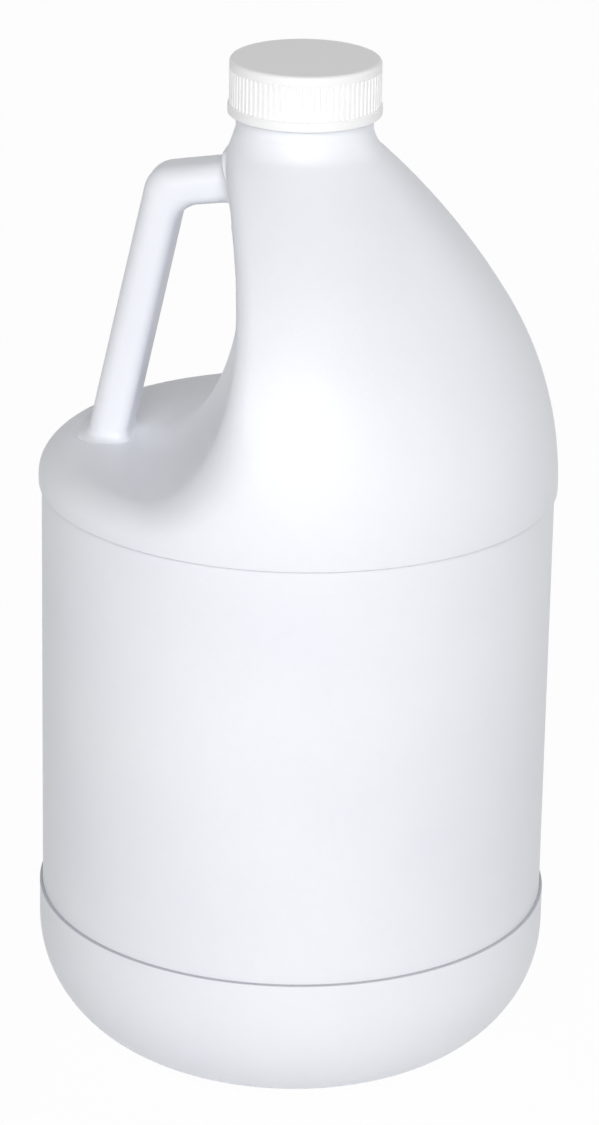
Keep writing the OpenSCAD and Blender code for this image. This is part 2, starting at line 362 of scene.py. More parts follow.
@dataclass(frozen=True)
class Recess:
    """The hand's recess in the shoulder: a shelf, an elliptic sweep and a wall that leans back."""

    shelf_z: float = 181.7
    rim_r: float = 8.0
    ridge_r: float = 5.0
    corner_r: float = 4.0
    waist_x: float = 17.0
    waist_z: float = 232.5
    sweep_x: float = 28.0
    lean_r: float = 115.0
    draft: float = math.radians(9.5)
    nose_r: float = 5.0
    blend_up: float = 4.5
    blend_span: float = 30.0
    corner_up: float = 10.0
    corner_span: float = 12.0

    def gap(self, x: Array, y: Array, z: Array) -> Array:
        """Signed distance into the recess.

        Formula: the wall is the plane pair x = -waist_x - lean(z) + |y| tan(draft), with a rounded
        nose; a quarter ellipse sweep_x wide joins it to the shelf, and is divided by its slope.

        Args:
            x: coordinates toward the jug's front.
            y: coordinates across.
            z: heights.

        Returns:
            Distances, positive over the shelf on the handle's side of the wall.
        """
        wall_x = -self.waist_x - np.maximum(z - self.waist_z, 0) ** 2 / (2 * self.lean_r)
        half = np.hypot(y, self.nose_r) - self.nose_r
        out = half * math.sin(self.draft) - (x - wall_x) * math.cos(self.draft)
        up = z - self.shelf_z
        sweep_z = self.waist_z - self.shelf_z
        stretch = sweep_z / self.sweep_x
        kx, kz = np.maximum(sweep_z - stretch * out, 0), np.maximum(sweep_z - up, 0)
        length = np.hypot(kx, kz)
        slope = np.where(length > 0, np.hypot(stretch * kx, kz) / np.maximum(length, 1e-9), 1)
        return (np.maximum(sweep_z, np.minimum(stretch * out, up)) - length) / slope

    def edge_radius(self, z: Array) -> Array:
        """Radius of the edge round the recess.

        Formula: rim_r at the shelf, falling evenly to ridge_r over blend_span, plus a bell of
        height corner_r and width corner_span where the rim turns up into the ridge.

        Args:
            z: heights.

        Returns:
            Radii.
        """
        up = z - self.shelf_z - self.blend_up
        even = self.rim_r + (self.ridge_r - self.rim_r) * np.clip(up / self.blend_span, 0, 1)
        return even + self.corner_r * np.exp(-((up - self.corner_up) / self.corner_span) ** 2)


@dataclass(frozen=True)
class Skin:
    """The jug's skin above the label panel, cast by rays that fan out from a point on the axis.

    The ridge_ values say where the edge of the recess is looked for, and band_ how the columns
    gather beside it. sweep_from and sweep_to are the elevations between which the recess sweeps
    up; seam_low and seam_high keep the skin clear of the lip and the neck that it joins, and
    the inside ends inner_drop walls lower than the outside.
    """

    shoulder: Shoulder = Shoulder()
    recess: Recess = Recess()
    fan_z: float = 166.0
    wall: float = 1.0
    halvings: int = 34
    ridge_from: float = math.radians(92)
    ridge_to: float = math.radians(150)
    ridge_start: float = math.radians(13)
    ridge_window: int = 9
    band_half: float = 7.0
    band_limit: float = math.radians(16)
    band_shares: tuple[float, float] = (0.46, 0.68)
    sweep_from: float = math.radians(20)
    sweep_to: float = math.radians(68)
    seam_low: float = 0.6
    seam_high: float = 0.3
    inner_drop: float = 3.0

    def gap(self, p: Array) -> Array:
        """Signed distance from the skin: shoulder and recess joined with a rounded edge."""
        x, y, z = p[..., 0], p[..., 1], p[..., 2]
        return round_max(self.shoulder.gap(np.hypot(x, y), z), self.recess.gap(x, y, z),
                         self.recess.edge_radius(z))

    def rays(self, elevation: Array, azimuth: Array, distance: Array) -> Array:
        """Points at a distance along rays from the fan's centre.

        Args:
            elevation: angles above the horizon.
            azimuth: angles about the axis.
            distance: lengths of the rays.

        Returns:
            One point a ray.
        """
        level = distance * np.cos(elevation)
        return np.stack([level * np.cos(azimuth), level * np.sin(azimuth),
                         self.fan_z + distance * np.sin(elevation)], -1)

    def cast(self, elevation: Array, azimuth: Array, inset: float, plain: bool = False) -> Array:
        """Points where rays meet the skin.

        Formula: the interval from the axis to the body's diameter is halved until it holds only
        the place where the signed distance passes -inset.

        Args:
            elevation: angles above the horizon.
            azimuth: angles about the axis, of the same shape.
            inset: how far inside the skin the surface lies.
            plain: leave the recess out.

        Returns:
            One point a ray.
        """
        near = np.ones(np.broadcast(elevation, azimuth).shape)
        far = near * 2 * self.shoulder.body_r
        for _ in range(self.halvings):
            middle = (near + far) / 2
            p = self.rays(elevation, azimuth, middle)
            rho = np.hypot(p[..., 0], p[..., 1])
            gap = self.shoulder.gap(rho, p[..., 2]) if plain else self.gap(p)
            inside = gap < -inset
            near, far = np.where(inside, middle, near), np.where(inside, far, middle)
        return self.rays(elevation, azimuth, near)

    def spine(self, elevation: Array) -> tuple[Array, Array]:
        """Azimuth of the ridge between recess and shoulder at each row, and half the band about it.

        Formula: the interval from ridge_from to ridge_to is halved on the plain dome until it
        holds the azimuth where the recess begins; rows below ridge_start keep the azimuth found
        there, and a running mean over ridge_window rows takes the kinks out.

        Args:
            elevation: one angle a row.

        Returns:
            Azimuths and half widths, in radians.
        """
        low, high = np.full(elevation.shape, self.ridge_from), np.full(elevation.shape, self.ridge_to)
        for _ in range(self.halvings):
            middle = (low + high) / 2
            p = self.cast(elevation, middle, 0, plain=True)
            inside = self.recess.gap(p[:, 0], p[:, 1], p[:, 2]) < 0
            low, high = np.where(inside, middle, low), np.where(inside, high, middle)
        first = np.argmin(np.abs(elevation - self.ridge_start))
        low[:first] = low[first]
        padded = np.pad(low, self.ridge_window // 2, mode="edge")
        even = np.convolve(padded, np.ones(self.ridge_window) / self.ridge_window, mode="valid")
        rho = np.hypot(p[:, 0], p[:, 1])
        return even, np.minimum(self.band_half / rho, self.band_limit)

    def azimuths(self, elevation: Array, columns: int) -> Array:
        """Azimuth of each column at each row, closer together in a band that follows the ridge.

        Args:
            elevation: one angle a row.
            columns: even number of columns.

        Returns:
            Angles in radians, rows by columns, anticlockwise from +X.
        """
        ridge, half = self.spine(elevation)
        share = np.arange(columns // 2 + 1) / (columns // 2)
        shares = (0.0, *self.band_shares, 1.0)
        rows = np.stack([np.interp(share, shares, (0, middle - h, middle + h, math.pi))
                         for middle, h in zip(ridge, half)])
        return np.hstack([rows, 2 * math.pi - rows[:, -2:0:-1]])

    def grid(self, side: Side, rows: tuple[int, int, int], columns: int) -> tuple[Array, Array]:
        """The whole skin from the shoulder's start to the neck.

        Args:
            side: outside or inside of the wall.
            rows: rows below, along and above the sweep of the recess.
            columns: columns round the jug.

        Returns:
            Grid of points, and the azimuths of its columns at every row.
        """
        inset = side.value * self.wall
        low_z = self.shoulder.start_z + self.seam_low
        high_z = self.shoulder.neck_z - self.seam_high - self.inner_drop * inset
        start = math.atan((low_z - self.fan_z) / (self.shoulder.body_r - inset))
        end = math.atan((high_z - self.fan_z) / (self.shoulder.neck_r - inset))
        stops = [start, self.sweep_from, self.sweep_to, end]
        parts = [np.linspace(a, b, n, endpoint=False) for a, b, n in zip(stops, stops[1:], rows)]
        elevation = np.concatenate([*parts, [end]])
        azimuth = self.azimuths(elevation, columns)
        level = np.broadcast_to(elevation[:, None], azimuth.shape)
        return self.cast(level, azimuth, inset), azimuth


@dataclass(frozen=True)
class Base:
    """The heel, the standing ring, the pushed-up middle, the label panel and the lip above it.

    ring_rows round the ring off: how far each row lies outside ring_r, and its height. On the
    inside the lip lies lower by lip_share of the wall.
    """

    body_r: float = 74.9
    panel_step: float = 0.9
    panel_bottom: float = 45.5
    lip_z: float = 171.3
    heel_r: float = 36.5
    heel_flat: float = 1.5
    ring_r: float = 45.0
    ring_rows: tuple[tuple[float, float], ...] = ((0.2, 0.35), (0.9, 0.05), (1.7, 0.0))
    push_up: float = 6.0
    pole_angle: float = 89.4
    ring_angle: float = 0.8
    ledge_edge: float = 0.2
    edge_steps: int = 4
    panel_rows: int = 11
    lip_share: float = 0.25

    def profile(self, inset: float, fine: int) -> Array:
        """Half outline from the middle of the base up to the lip.

        Formula: a shallow arc for the pushed-up middle, from pole_angle beside the axis to
        ring_angle short of the ring, the rows of the standing ring, the heel's arc, a ledge with
        a small edge, the straight panel, and the lip, which steps out over it with a small edge.

        Args:
            inset: how far inside the skin the outline lies.
            fine: steps in the heel; the rest takes its share of it.

        Returns:
            Rows of distance from the axis and height; the first lies just off the axis.
        """
        floor_r = (self.ring_r ** 2 + self.push_up ** 2) / (2 * self.push_up)
        floor_turn = math.degrees(math.asin(self.ring_r / floor_r))
        middle = arc((0, self.push_up - floor_r), floor_r + inset, self.pole_angle,
                     90 - floor_turn + self.ring_angle, fine)
        heel = (self.body_r - self.heel_r, self.heel_r - self.heel_flat)
        foot = -math.degrees(math.asin((heel[1] - inset) / (self.heel_r - inset)))
        ring = np.array([[self.ring_r + out, inset + up] for out, up in self.ring_rows])
        side = arc(heel, self.heel_r - inset, foot, 0, fine)
        outer_r, panel_r = self.body_r - inset, self.body_r - self.panel_step - inset
        edge = self.ledge_edge
        ledge_z, lip_z = self.panel_bottom - inset, self.lip_z - self.lip_share * inset
        ledge = arc((outer_r - edge, ledge_z - edge), edge, 0, 90, self.edge_steps)
        panel_z = np.linspace(ledge_z, lip_z, self.panel_rows)
        panel = np.column_stack([np.full(self.panel_rows, panel_r), panel_z])
        lip = arc((outer_r - edge, lip_z + edge), edge, 270, 360, self.edge_steps)
        return np.vstack([middle, ring, side, ledge, panel, lip])


@dataclass(frozen=True)
class Neck:
    """The neck: a plain root, a collar, the threaded finish and the bore.

    collar_gap, rim_gap and bore_gap keep the rows of the straight walls off the edges beside them.
    """

    root_r: float = 19.4
    collar_z: float = 280.3
    finish_r: float = 17.5
    bore_r: float = 15.75
    top_z: float = 294.1
    rim_edge: float = 0.6
    rim_steps: int = 5
    collar_edge: float = 0.4
    collar_steps: int = 4
    wall_rows: int = 5
    collar_gap: float = 2.0
    rim_gap: float = 1.0
    bore_gap: float = 3.0
    thread_pitch: float = 25.4 / 6
    thread_r: float = 18.7
    thread_root: float = 1.5
    thread_crest: float = 0.6
    thread_turns: float = 1.5
    thread_z: float = 284.2
    thread_sink: float = 0.5
    thread_run_outs: float = 8.0

    def profile(self, low_z: float, bore_z: float) -> Array:
        """Half outline from the neck's root over the rim and down the bore.

        Args:
            low_z: height at which the outline starts outside.
            bore_z: height at which it ends inside.

        Returns:
            Rows of distance from the axis and height.
        """
        edge, rim = self.collar_edge, self.rim_edge
        finish_z = np.linspace(self.collar_z + self.collar_gap, self.top_z - rim - self.rim_gap,
                               self.wall_rows)
        inner_z = np.linspace(self.top_z - self.bore_gap, bore_z, self.wall_rows)
        return np.vstack([
            [[self.root_r, low_z], [self.root_r, (low_z + self.collar_z) / 2]],
            arc((self.root_r - edge, self.collar_z - edge), edge, 0, 90, self.collar_steps),
            arc((self.finish_r + edge, self.collar_z + edge), edge, 270, 180, self.collar_steps),
            [[self.finish_r, z] for z in finish_z],
            arc((self.finish_r - rim, self.top_z - rim), rim, 0, 90, self.rim_steps),
            arc((self.bore_r + rim, self.top_z - rim), rim, 90, 180, self.rim_steps),
            [[self.bore_r, z] for z in inner_z],
        ])

    def thread(self, steps: int = 150) -> Piece:
        """The raised thread, one closed ridge.

        Formula: a trapezium, thread_root wide at its root and thread_crest at its crest, either
        side of its middle, is carried along a helix of the thread's pitch; it sinks to nothing
        over one part in thread_run_outs of a turn at each end.

        Args:
            steps: stations along the helix.

        Returns:
            The ridge as a closed mesh.
        """
        share = np.linspace(0, 1, steps)
        turn = 2 * math.pi * self.thread_turns * share
        ends = np.clip(np.minimum(share, 1 - share) * self.thread_turns * self.thread_run_outs, 0, 1)
        crest = self.finish_r + (self.thread_r - self.finish_r) * np.sin(ends * math.pi / 2)
        root = np.full(steps, self.finish_r - self.thread_sink)
        rho = np.stack([root, root, crest, crest], 1)
        up = np.array([-self.thread_root, self.thread_root, self.thread_crest, -self.thread_crest])
        z = self.thread_z + self.thread_pitch * self.thread_turns * share[:, None] + up
        a = turn[:, None] + np.zeros(4)
        grid = np.stack([rho * np.cos(a), rho * np.sin(a), z], -1)
        return closed_grid("thread", grid[:, ::-1])


@dataclass(frozen=True)
class Handle:
    """The hollow handle: a leaning lower limb, a bend and a limb that rises to the shoulder.

    The rows of the lower limb are given as first, last and count, in millimetres along it from
    the shelf: sunk_rows lie in the jug, foot_rows follow the foot's fillet and limb_rows the rest,
    which ends bend_gap short of the bend. inner_share and outer_share are the section's corner
    radii as shares of its half width.
    """

    foot_x: float = 55.6
    corner_x: float = 39.2
    corner_z: float = 257.7
    rise: float = math.radians(8.6)
    bend_r: float = 8.2
    lower_w: float = 11.5
    upper_w: float = 11.4
    depth: float = 18.0
    root_fillet: float = 3.0
    end_x: float = 8.0
    inner_share: float = 0.6
    outer_share: float = 0.93
    sunk_rows: tuple[float, float, int] = (-9.0, -1.0, 5)
    foot_rows: tuple[float, float, int] = (-0.6, 6.0, 20)
    limb_rows: tuple[float, float, int] = (9.0, 60.0, 16)
    bend_gap: float = 3.0
    bend_rows: int = 17
    upper_rows: int = 41
    corner_points: int = 11

    def edges(self, shelf_z: float) -> tuple[Array, Array]:
        """Outer and inner edge of the handle, seen from the side.

        Formula: each edge is two straight lines, parallel to the limbs' centre lines at half their
        widths, and an arc of radius bend_r that touches both; stations pair points of both edges
        with the same direction.

        Args:
            shelf_z: height of the shelf that the handle stands on.

        Returns:
            Points of the outer edge and of the inner edge, as x and z.
        """
        foot = np.array([-self.foot_x, shelf_z])
        elbow = np.array([-self.corner_x, self.corner_z])
        run = (elbow - foot) / np.linalg.norm(elbow - foot)
        rise = np.array([math.cos(self.rise), math.sin(self.rise)])
        bend = math.acos(run @ rise)
        cut = self.bend_r * math.tan(bend / 2)
        stretches = (self.sunk_rows, self.foot_rows, self.limb_rows)
        low_s = np.concatenate([np.linspace(*rows) for rows in stretches])
        high_s = np.linspace(0, 1, self.upper_rows + 1)[1:]
        a = math.atan2(run[1], run[0]) - bend * np.linspace(0, 1, self.bend_rows)
        round_bend = self.bend_r * np.column_stack([-np.sin(a), np.cos(a)])
        low_n, high_n = np.array([run[1], -run[0]]), np.array([rise[1], -rise[0]])
        edges = []
        for side in (-1, 1):
            low_p = foot + side * self.lower_w / 2 * low_n
            high_p = elbow + side * self.upper_w / 2 * high_n
            along = np.linalg.solve(np.column_stack([run, -rise]), high_p - low_p)
            corner = low_p + along[0] * run
            first, last = corner - cut * run, corner + cut * rise
            centre = first + self.bend_r * low_n
            reach = (-self.end_x - last[0]) / rise[0]
            low = low_p + (low_s * (along[0] - cut - self.bend_gap) / low_s[-1])[:, None] * run
            edges.append(np.vstack([low, centre + round_bend, last + (high_s * reach)[:, None] * rise]))
        return edges[0], edges[1]

    def tube(self, name: str, skin: Skin, side: Side) -> Piece:
        """The handle's outside or its hollow, flared where it runs into the jug.

        Formula: a section with well rounded outer and tighter inner corners is carried along the
        centre line; each point moves out along its own normal by what a fillet of root_fillet
        leaves at that point's distance from the jug's skin.

        Args:
            name: name of the object.
            skin: the jug's skin.
            side: outside or hollow.

        Returns:
            The tube as a closed mesh.
        """
        inset = side.value * skin.wall
        outer, inner = self.edges(skin.recess.shelf_z)
        line, half = (outer + inner) / 2, np.linalg.norm(inner - outer, axis=1) / 2
        angle = np.arctan2(inner[:, 0] - outer[:, 0], outer[:, 1] - inner[:, 1])
        unit, normal = self.section()
        outward = np.stack([normal[:, 0] * np.sin(angle)[:, None],
                            np.broadcast_to(normal[:, 1], (len(angle), len(normal))),
                            -normal[:, 0] * np.cos(angle)[:, None]], -1)
        across = self.section_points(unit, normal, half[:, None]) - inset * normal
        base = np.stack([line[:, :1] + across[..., 0] * np.sin(angle)[:, None], across[..., 1],
                         line[:, 1:] - across[..., 0] * np.cos(angle)[:, None]], -1)
        fillet = self.root_fillet
        short = np.clip(fillet - (skin.gap(base) + inset), 0, fillet)
        flare = fillet - np.sqrt(fillet ** 2 - short ** 2)
        return closed_grid(name, base + flare[..., None] * outward)

    def section(self) -> tuple[Array, Array]:
        """Corner index and outward normal of each point of the section.

        Returns:
            Per point the signs of its corner (across, depth), and its unit normal.
        """
        corners, normals = [], []
        for across, depth, start in ((1, 1, 0), (-1, 1, 90), (-1, -1, 180), (1, -1, 270)):
            corners += [(across, depth)] * self.corner_points
            normals.append(arc((0, 0), 1, start, start + 90, self.corner_points - 1))
        return np.array(corners, dtype=float), np.vstack(normals)

    def section_points(self, corner: Array, normal: Array, half: Array) -> Array:
        """Points of the section for each half width.

        Formula: a corner's centre lies its radius inside the two sides, and each point its radius
        out along its normal; the inner side, at positive across, has the tighter corners.

        Args:
            corner: signs of each point's corner.
            normal: unit normal of each point.
            half: half widths, one a station.

        Returns:
            Stations by points by (across, depth).
        """
        inner = corner[:, 0] > 0
        r = np.where(inner, half * self.inner_share, half * self.outer_share)
        across = corner[:, 0] * (half - r) + r * normal[:, 0]
        depth = corner[:, 1] * (self.depth / 2 - r) + r * normal[:, 1]
        return np.stack([across, depth], -1)


@dataclass(frozen=True)
class Finish:
    """A procedural material; each kind adds its nodes in shade."""

    name: str

    def build(self) -> Material:
        """Makes the material."""
        material = bpy.data.materials.new(self.name)
        tree = blank_tree(material)
        add_node(tree, "ShaderNodeOutputMaterial", {"Surface": self.shade(tree).outputs[0]})
        return material

    def shade(self, tree: Tree) -> Node:
        """Adds the nodes of the kind and returns its shader node."""
        raise NotImplementedError


@dataclass(frozen=True)
class Polyethylene(Finish):
    """Natural high-density polyethylene, blow moulded.

    The resin is unpigmented, so it is milky with a touch of blue, and its wall varies a little
    in thickness. The mould is grit blasted, which prints a fine grain on the skin and makes it
    matt, with only a broad soft sheen. A grey line of painted shade darkens the two narrow
    ledges, where shade falls in their corners.
    """

    name: str = "blow_moulded_polyethylene"
    thick_colour: str = "EFF1F8"
    thin_colour: str = "F3F5FA"
    cloud_mm: float = 60.0
    cloud_detail: float = 2.0
    cloud_range: tuple[float, float] = (0.3, 0.7)
    # Painted shade: a grey line on the two ledges stands in for the shade in their corners.
    painted_shade_colour: str = "8C8E96"
    painted_shade_share: float = 0.6
    ledges: tuple[tuple[float, float], ...] = ((Base.panel_bottom, 0.35), (Base.lip_z, 0.3))
    grain_mm: float = 0.6
    grain_detail: float = 3.0
    grain_strength: float = 0.55
    grain_depth_mm: float = 0.1
    roughness: float = 0.42
    ior: float = 1.54

    def shade(self, tree: Tree) -> Node:
        """Adds the clouds of thickness, the painted shade on the ledges and the grain, and the shader.
        """
        grain = noise(tree, self.grain_mm, self.grain_detail)
        # Painted shade: the ledge lines darken the colour where shade falls at the ledges.
        shaded_tint = add_node(tree, "ShaderNodeMix", data_type="RGBA", inputs={
            "Factor": self.painted_shade_lines(tree), "A": self.clouds(tree), "B": linear(self.painted_shade_colour)})
        return add_node(tree, "ShaderNodeBsdfPrincipled", {
            "Base Color": shaded_tint.outputs["Result"], "Roughness": self.roughness, "IOR": self.ior,
            "Normal": grain_normal(tree, grain, self.grain_strength, self.grain_depth_mm)})

    def clouds(self, tree: Tree) -> Socket:
        """Colour that drifts between the thicker and the thinner places of the wall."""
        low, high = self.cloud_range
        thin = add_node(tree, "ShaderNodeMapRange", {
            "Value": noise(tree, self.cloud_mm, self.cloud_detail), "From Min": low, "From Max": high,
            "To Min": 0.0, "To Max": 1.0})
        tint = add_node(tree, "ShaderNodeMix", data_type="RGBA", inputs={
            "Factor": thin.outputs["Result"], "A": linear(self.thick_colour),
            "B": linear(self.thin_colour)})
        return tint.outputs["Result"]

    def painted_shade_lines(self, tree: Tree) -> Socket:
        """Share of painted shade on the ledges, which fades within each ledge's reach above and below
        it.
        """
        height = add_node(tree, "ShaderNodeSeparateXYZ", {"Vector": object_place(tree)}).outputs["Z"]
        lines = []
        for z, reach in self.ledges:
            off = add_node(tree, "ShaderNodeMath", {0: height, 1: z * MM}, operation="SUBTRACT")
            away = add_node(tree, "ShaderNodeMath", {0: off.outputs[0]}, operation="ABSOLUTE")
            line = add_node(tree, "ShaderNodeMapRange", interpolation_type="SMOOTHSTEP", inputs={
                "Value": away.outputs[0], "From Min": 0.0, "From Max": reach * MM,
                "To Min": self.painted_shade_share, "To Max": 0.0})
            lines.append(line.outputs["Result"])
        both = add_node(tree, "ShaderNodeMath", {0: lines[0], 1: lines[1]}, operation="MAXIMUM")
        return both.outputs[0]


@dataclass(frozen=True)
class Polypropylene(Finish):
    """White pigmented polypropylene, injection moulded.

    The pigment makes it opaque and an even, neutral white, a shade brighter than the jug. The
    steel of its mould is finely eroded, so the skin is satin, and the ribs catch the light.
    """

    name: str = "moulded_polypropylene"
    colour: str = "FAFAFA"
    grain_mm: float = 0.3
    grain_detail: float = 2.0
    grain_strength: float = 0.1
    grain_depth_mm: float = 0.04
    roughness: float = 0.35
    ior: float = 1.49

    def shade(self, tree: Tree) -> Node:
        """Adds the fine grain and the shader."""
        grain = noise(tree, self.grain_mm, self.grain_detail)
        return add_node(tree, "ShaderNodeBsdfPrincipled", {
            "Base Color": linear(self.colour), "Roughness": self.roughness, "IOR": self.ior,
            "Normal": grain_normal(tree, grain, self.grain_strength, self.grain_depth_mm)})


@dataclass(frozen=True)
class Foam(Finish):
    """White closed-cell polyethylene foam, punched from a skived sheet.

    The knife opens the cells at the surface, so it is matt and pitted, with cells a third of a
    millimetre across.
    """

    name: str = "closed_cell_foam"
    colour: str = "EDEEF0"
    cell_mm: float = 0.35
    cell_strength: float = 0.5
    cell_depth_mm: float = 0.08
    roughness: float = 0.85

    def shade(self, tree: Tree) -> Node:
        """Adds the cells and the shader."""
        cells = add_node(tree, "ShaderNodeTexVoronoi",
                         {"Vector": object_place(tree), "Scale": 1 / (self.cell_mm * MM)})
        normal = grain_normal(tree, cells.outputs["Distance"], self.cell_strength, self.cell_depth_mm)
        return add_node(tree, "ShaderNodeBsdfPrincipled", {
            "Base Color": linear(self.colour), "Roughness": self.roughness, "Normal": normal})


@dataclass(frozen=True)
class FloorPaint(Finish):
    """Matt white paint that takes the jug's soft shadow, lit up by a share glow of plain white."""

    name: str = "studio_floor"
    colour: str = "F2F2F2"
    glow: float = 0.97

    def shade(self, tree: Tree) -> Node:
        """Mixes the paint with the glow."""
        share = add_node(tree, "ShaderNodeMath", {0: clear_rays(tree), 1: self.glow},
                         operation="MULTIPLY")
        matt = add_node(tree, "ShaderNodeBsdfDiffuse", {"Color": linear(self.colour)})
        glow = add_node(tree, "ShaderNodeEmission", {"Color": linear(WHITE), "Strength": 1.0})
        return add_node(tree, "ShaderNodeMixShader",
                        {0: share.outputs[0], 1: matt.outputs[0], 2: glow.outputs[0]})


@dataclass(frozen=True)
class Jug:
    """The blow-moulded jug: one closed mesh with an outside, an inside and a hollow handle.

    outer_rows and inner_rows count the skin's rows below, along and above the recess's sweep, and
    outer_fine and inner_fine the steps in the heel. neck_gap and bore_gap keep the neck's first
    and last row clear of the skin's.
    """

    base: Base = Base()
    skin: Skin = Skin()
    neck: Neck = Neck()
    handle: Handle = Handle()
    columns: int = 200
    outer_rows: tuple[int, int, int] = (56, 52, 44)
    inner_rows: tuple[int, int, int] = (22, 18, 16)
    outer_fine: int = 20
    inner_fine: int = 8
    neck_gap: float = 0.4
    bore_gap: float = 1.0
    sharp_angle: float = 32.0

    def build(self) -> Piece:
        """Makes the jug's mesh.

        Returns:
            The jug, at the origin.
        """
        outer, outer_a = self.skin.grid(Side.OUTER, self.outer_rows, self.columns)
        inner, inner_a = self.skin.grid(Side.INNER, self.inner_rows, self.columns)
        wall = self.skin.wall
        neck_z = float(outer[-1, :, 2].max()) + self.neck_gap
        bore_z = float(inner[-1, :, 2].max()) + self.bore_gap
        grid = np.concatenate([
            turned(self.base.profile(0, self.outer_fine), outer_a[0]),
            outer,
            turned(self.neck.profile(neck_z, bore_z), outer_a[-1]),
            inner[::-1],
            turned(self.base.profile(wall, self.inner_fine)[::-1], inner_a[0]),
        ])
        low = self.base.push_up
        jug = closed_grid("jug_moulding", grid, np.array([0, 0, low]), np.array([0, 0, low + wall]))
        combine(jug, self.handle.tube("handle_outside", self.skin, Side.OUTER), "UNION")
        combine(jug, self.handle.tube("handle_hollow", self.skin, Side.INNER), "DIFFERENCE")
        combine(jug, self.neck.thread(), "UNION")
        smooth(jug, self.sharp_angle)
        return jug

    def dress(self, jug: Piece, finish: Polyethylene) -> None:
        """Gives the jug its material and its place in the frame."""
        jug.data.materials.clear()
        jug.data.materials.append(finish.build())
        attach(jug, "jug")
        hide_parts("heel", "panel", "shoulder", "handle", "neck")


@dataclass(frozen=True)
class Cap:
    """The ribbed screw cap, open below.

    rib_start gives the first rows of the ribs, up from the flange, and rib_end the last ones,
    down from the plain band. groove_level and groove_steep shape the groove between two ribs.
    """

    bottom_z: float = 280.9
    height: float = 15.7
    rib_r: float = 21.4
    flange_r: float = 21.8
    flange_h: float = 2.7
    band_h: float = 2.6
    bore_r: float = 19.0
    top_t: float = 1.5
    edge: float = 1.2
    small_edge: float = 0.3
    ribs: int = 80
    rib_depth: float = 0.45
    rib_columns: int = 10
    rib_start: tuple[float, float, float] = (0.1, 0.35, 0.6)
    rib_end: tuple[float, float, float] = (0.5, 0.2, 0.0)
    rib_rows: int = 5
    rib_fade: float = 0.45
    groove_level: float = 0.5
    groove_steep: float = 1.6
    band_edge: float = 0.3
    top_rings: tuple[float, ...] = (0.9, 0.6, 0.3)
    mouth_steps: int = 3
    flange_steps: int = 4
    flange_end: float = 80.0
    edge_steps: int = 6
    sharp_angle: float = 40.0

    def build(self) -> Piece:
        """Makes the cap's mesh.

        Formula: the outline (rho, z) is carried round the axis; between the flange and the top
        band rho loses rib_depth times a groove wave, a clipped cosine of the rib count.

        Returns:
            The cap, at the origin.
        """
        bore_r, rib_r, small = self.bore_r, self.rib_r, self.small_edge
        top, ceiling = self.bottom_z + self.height, self.bottom_z + self.height - self.top_t
        flange_z, band_z = self.bottom_z + self.flange_h, top - self.band_h
        first, last = flange_z + np.array(self.rib_start), band_z - np.array(self.rib_end)
        ribs_z = np.concatenate([first[:-1], np.linspace(first[-1], last[0], self.rib_rows), last[1:]])
        outline = np.vstack([
            [[bore_r, self.bottom_z + small]],
            arc((bore_r + small, self.bottom_z + small), small, 180, 270, self.mouth_steps),
            arc((self.flange_r - small, self.bottom_z + small), small, 270, 360, self.flange_steps),
            arc((self.flange_r - small, flange_z - small), small, 0, self.flange_end, self.flange_steps),
            np.column_stack([np.full(len(ribs_z), rib_r), ribs_z]),
            [[rib_r, band_z + self.band_edge], [rib_r, top - self.edge - self.band_edge]],
            arc((rib_r - self.edge, top - self.edge), self.edge, 0, 90, self.edge_steps),
            [[rib_r * share, top] for share in self.top_rings],
        ])
        columns = self.ribs * self.rib_columns
        a = 2 * math.pi * np.arange(columns) / columns
        grid = turned(outline, a)
        groove = np.clip(self.groove_level - self.groove_steep * np.cos(self.ribs * a), 0, 1)
        room = np.minimum(outline[:, 1] - first[0], last[-1] - outline[:, 1])
        fade = np.clip(room / self.rib_fade, 0, 1)
        fade[outline[:, 0] != rib_r] = 0
        depth = self.rib_depth * fade[:, None] * groove
        grid[..., 0] -= depth * np.cos(a)
        grid[..., 1] -= depth * np.sin(a)
        hollow = np.array([[bore_r / 2, ceiling], [bore_r - small, ceiling], [bore_r, ceiling - small]])
        inside = turned(hollow, a)
        cap = closed_grid("screw_cap", np.concatenate([inside, grid]), np.array([0, 0, ceiling]),
                          np.array([0, 0, top]))
        smooth(cap, self.sharp_angle)
        return cap

    def dress(self, cap: Piece, finish: Polypropylene) -> None:
        """Gives the cap its material and its place in the frame."""
        cap.data.materials.append(finish.build())
        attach(cap, "cap")
        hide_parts("cap")


@dataclass(frozen=True)
class Liner:
    """The foam disc inside the cap, which seals the mouth."""

    low_z: float = 294.1
    thickness: float = 1.0
    r: float = 18.7
    edge: float = 0.2
    edge_steps: int = 4
    columns: int = 96
    sharp_angle: float = 40.0

    def build(self) -> Piece:
        """Makes the liner: a disc with small rounded edges."""
        top, edge = self.low_z + self.thickness, self.edge
        outline = np.vstack([
            [[self.r / 2, self.low_z]],
            arc((self.r - edge, self.low_z + edge), edge, 270, 360, self.edge_steps),
            arc((self.r - edge, top - edge), edge, 0, 90, self.edge_steps),
            [[self.r / 2, top]],
        ])
        a = 2 * math.pi * np.arange(self.columns) / self.columns
        liner = closed_grid("foam_liner", turned(outline, a), np.array([0, 0, self.low_z]),
                            np.array([0, 0, top]))
        smooth(liner, self.sharp_angle)
        return liner

    def dress(self, liner: Piece, finish: Foam) -> None:
        """Gives the liner its material and its place in the frame."""
        liner.data.materials.append(finish.build())
        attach(liner, "liner")
        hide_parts("liner")


